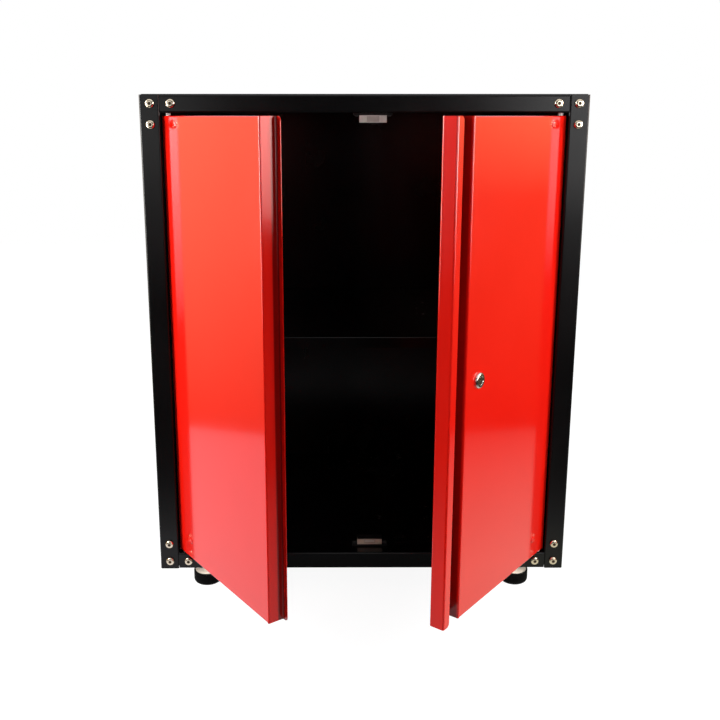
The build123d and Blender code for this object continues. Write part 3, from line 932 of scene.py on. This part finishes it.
def seen_directly(tree, link):
    """1 where a camera, glossy or transmission ray arrives, else 0."""
    path = tree.new("ShaderNodeLightPath")
    first = tree.new("ShaderNodeMath")
    first.operation = "MAXIMUM"
    second = tree.new("ShaderNodeMath")
    second.operation = "MAXIMUM"
    link(path.outputs["Is Camera Ray"], first.inputs[0])
    link(path.outputs["Is Glossy Ray"], first.inputs[1])
    link(first.outputs["Value"], second.inputs[0])
    link(path.outputs["Is Transmission Ray"], second.inputs[1])
    return second.outputs["Value"]


def studio_world():
    """White all round for the camera and for reflections, with little light of its own."""
    world = bpy.data.worlds.new("studio")
    world.use_nodes = True
    scene.world = world
    tree, link = world.node_tree.nodes, world.node_tree.links.new
    tree.clear()
    output = tree.new("ShaderNodeOutputWorld")
    sky = tree.new("ShaderNodeBackground")
    sky.inputs["Color"].default_value = (1.0, 1.0, 1.0, 1.0)
    strength = tree.new("ShaderNodeMapRange")
    strength.inputs["To Min"].default_value = world_fill
    strength.inputs["To Max"].default_value = 1.0
    link(seen_directly(tree, link), strength.inputs["Value"])
    link(strength.outputs["Result"], sky.inputs["Strength"])
    link(sky.outputs["Background"], output.inputs["Surface"])


def studio_floor():
    """White floor: glows for the camera and for reflections, and still takes the object's shadow."""
    form = bmesh.new()
    bmesh.ops.create_grid(form, x_segments=1, y_segments=1, size=floor_half)
    tree, link, output = stage_material("studio_floor", stage_piece("studio_floor", form))
    matt = tree.new("ShaderNodeBsdfDiffuse")
    matt.inputs["Color"].default_value = (floor_tone, floor_tone, floor_tone, 1.0)
    glow = tree.new("ShaderNodeEmission")
    spot = tree.new("ShaderNodeTexCoord")
    reach = tree.new("ShaderNodeVectorMath")
    reach.operation = "LENGTH"
    level = tree.new("ShaderNodeMapRange")
    level.inputs["From Min"].default_value = floor_near
    level.inputs["From Max"].default_value = floor_far
    level.inputs["To Min"].default_value = floor_glow_near
    level.inputs["To Max"].default_value = floor_glow_far
    strength = tree.new("ShaderNodeMath")
    strength.operation = "MULTIPLY"
    both = tree.new("ShaderNodeAddShader")
    link(spot.outputs["Object"], reach.inputs[0])
    link(reach.outputs["Value"], level.inputs["Value"])
    link(seen_directly(tree, link), strength.inputs[0])
    link(level.outputs["Result"], strength.inputs[1])
    link(strength.outputs["Value"], glow.inputs["Strength"])
    link(matt.outputs["BSDF"], both.inputs[0])
    link(glow.outputs["Emission"], both.inputs[1])
    link(both.outputs["Shader"], output.inputs["Surface"])


def card(name, x, y, z, glow, graded="z", tint=(1.0, 1.0, 1.0)):
    """A card that only reflections see; two of x, y and z are spans, and its glow is graded along one."""
    spans = [value if isinstance(value, tuple) else (value, value) for value in (x, y, z)]
    start = Vector([span[0] for span in spans])
    reach = Vector([span[1] - span[0] for span in spans])
    rise = Vector([size if axis == graded else 0.0 for axis, size in zip("xyz", reach)])
    side = reach - rise
    form = bmesh.new()
    corners = (start, start + side, start + side + rise, start + rise)
    form.faces.new([form.verts.new(corner) for corner in corners])
    panel = stage_piece(name, form)
    panel.visible_camera = False
    panel.visible_diffuse = False
    panel.visible_shadow = False
    tree, link, output = stage_material(name, panel)
    light = tree.new("ShaderNodeEmission")
    light.inputs["Color"].default_value = (*tint, 1.0)
    spot = tree.new("ShaderNodeTexCoord")
    shift = tree.new("ShaderNodeVectorMath")
    shift.operation = "SUBTRACT"
    shift.inputs[1].default_value = start
    height = tree.new("ShaderNodeVectorMath")
    height.operation = "DOT_PRODUCT"
    height.inputs[1].default_value = rise / rise.length_squared
    strength = tree.new("ShaderNodeMapRange")
    strength.inputs["To Min"].default_value = glow[0]
    strength.inputs["To Max"].default_value = glow[1]
    link(spot.outputs["Object"], shift.inputs[0])
    link(shift.outputs["Vector"], height.inputs[0])
    link(height.outputs["Value"], strength.inputs["Value"])
    link(strength.outputs["Result"], light.inputs["Strength"])
    link(light.outputs["Emission"], output.inputs["Surface"])


def wall_cards():
    """Warm walls at both sides, brighter upwards, which the doors' faces mirror."""
    left_x = -1.04
    right_x = 1.05
    run = (-0.7, 1.7)
    bend = 0.6
    top = 0.86
    left_tint = (1.0, 0.78, 0.44)
    right_tint = (1.0, 0.78, 0.36)
    card("left_wall", left_x, run, (0.0, top), glow=(0.20, 1.61), tint=left_tint)
    card("right_wall_low", right_x, run, (0.0, bend), glow=(0.0, 0.26), tint=right_tint)
    card("right_wall_high", right_x, run, (bend, top), glow=(0.26, 1.45), tint=right_tint)


def floor_cards():
    """The floor as glossy faces mirror it: light beside the cabinet, dim in front of it, with a painted
    shade between the doors.
    """
    beside = (-0.45, 0.75)
    across = (-3.0, 3.0)
    low = 0.004
    middle = 0.005
    high = 0.006
    cool = (0.97, 0.96, 1.0)
    warm = (1.0, 1.0, 0.86)
    card("left_floor", (-0.20, -1.10), beside, high, glow=(1.08, 0.89), graded="x", tint=cool)
    card("right_floor", (0.20, 0.38), beside, high, glow=(0.82, 0.82), graded="x", tint=warm)
    card("right_far_floor", (0.38, 1.08), beside, high, glow=(0.82, 0.18), graded="x", tint=warm)
    card("near_floor", across, (-0.42, -0.75), low, glow=(0.65, 0.02), graded="y")
    card("far_floor", across, (-0.75, -3.75), low, glow=(0.02, 0.02), graded="y")
    # Painted shade: a dim card between the doors stands in for the floor they shade
    card("painted_shade_between_doors", (-0.20, 0.20), (-0.08, -0.46), middle, glow=(0.05, 0.15), graded="y")


def room_cards():
    """A dark room in front, so that the black frame stays black."""
    half = 3.0
    front = -3.4
    sides_end = -0.7
    height = 3.0
    dark = (0.01, 0.01)
    card("dark_room", (-half, half), front, (0.0, height), glow=dark)
    for x in (-half, half):
        card("dark_side", x, (front, sides_end), (0.0, height), glow=dark)


def edge_cards():
    """Cards far to both sides, which the doors' free edges mirror."""
    reach = 1.5
    run = (-1.65, -0.80)
    rose = (1.0, 0.58, 0.54)
    card("right_glow", reach, run, (0.46, 1.06), glow=(4.6, 15.0), tint=rose)
    card("left_glow", -reach, run, (0.30, 1.20), glow=(0.1, 0.7))


def sheen_cards():
    """Narrow bright cards beside the doors, which show as pale bands on them near the hinges."""
    reach = 0.7
    run = (-0.55, -0.36)
    top = 0.82
    card("right_sheen", reach, run, (0.46, top), glow=(0.0, 20.0))
    card("left_sheen", -reach, run, (0.38, top), glow=(3.5, 36.0))


def post_cards():
    """Graded cards in front, which the black posts and rails mirror."""
    front = -2.1
    levels = {"low": (0.20, 0.45), "mid": (0.45, 0.75), "high": (0.75, 1.25)}
    hands = {
        "right": ((0.62, 1.22), ((0.0, 0.7), (0.7, 5.5), (5.0, 4.0))),
        "left": ((-1.1, -0.5), ((0.0, 0.4), (0.4, 2.0), (1.5, 1.1))),
    }
    for hand, (run, glows) in hands.items():
        for part, glow in zip(levels, glows):
            card(f"{hand}_post_{part}", run, front, levels[part], glow=glow)


def softbox(name, spot, target, size, power, mirrored=True):
    """A rectangular lamp that shines from a spot to a target; reflections may leave it out."""
    data = bpy.data.lights.new(name, "AREA")
    data.shape = "RECTANGLE"
    data.size, data.size_y = size
    data.energy = power
    lamp = bpy.data.objects.new(name, data)
    lamp.visible_camera = False
    lamp.visible_glossy = mirrored
    lamp.location = spot
    lamp.rotation_euler = (Vector(target) - Vector(spot)).to_track_quat("-Z", "Y").to_euler()
    scene.collection.objects.link(lamp)


def lamps():
    """Softboxes at both sides and in front, and a small lamp at each front foot."""
    side_size = (0.7, 1.3)
    front_size = (0.8, 0.6)
    foot_size = (0.05, 0.02)
    softbox("left_softbox", (-1.7, -0.45, 0.95), (-0.2, -0.35, 0.4), side_size, power=40.0)
    softbox("right_softbox", (1.7, -0.45, 0.95), (0.2, -0.35, 0.4), side_size, power=30.0)
    softbox(
        "front_softbox", (0.75, -2.1, 0.80), (0.0, -0.3, 0.4), front_size, power=11.0, mirrored=False)
    for x in (-foot_x, foot_x):
        spot = (x, -0.212, 0.0425)
        target = (x, -0.196, 0.022)
        softbox("foot_light", spot, target, foot_size, power=0.026, mirrored=False)


def studio():
    """Everything round the cabinet."""
    studio_world()
    studio_floor()
    wall_cards()
    floor_cards()
    room_cards()
    edge_cards()
    sheen_cards()
    post_cards()
    lamps()


camera()
dress_nodes()
corner_bolts()
jamb_toes()
door_studs(-1, "left_door")
door_studs(1, "right_door")
lock_bezel()
key_face()
foot_bases()
catch_screws()
studio()
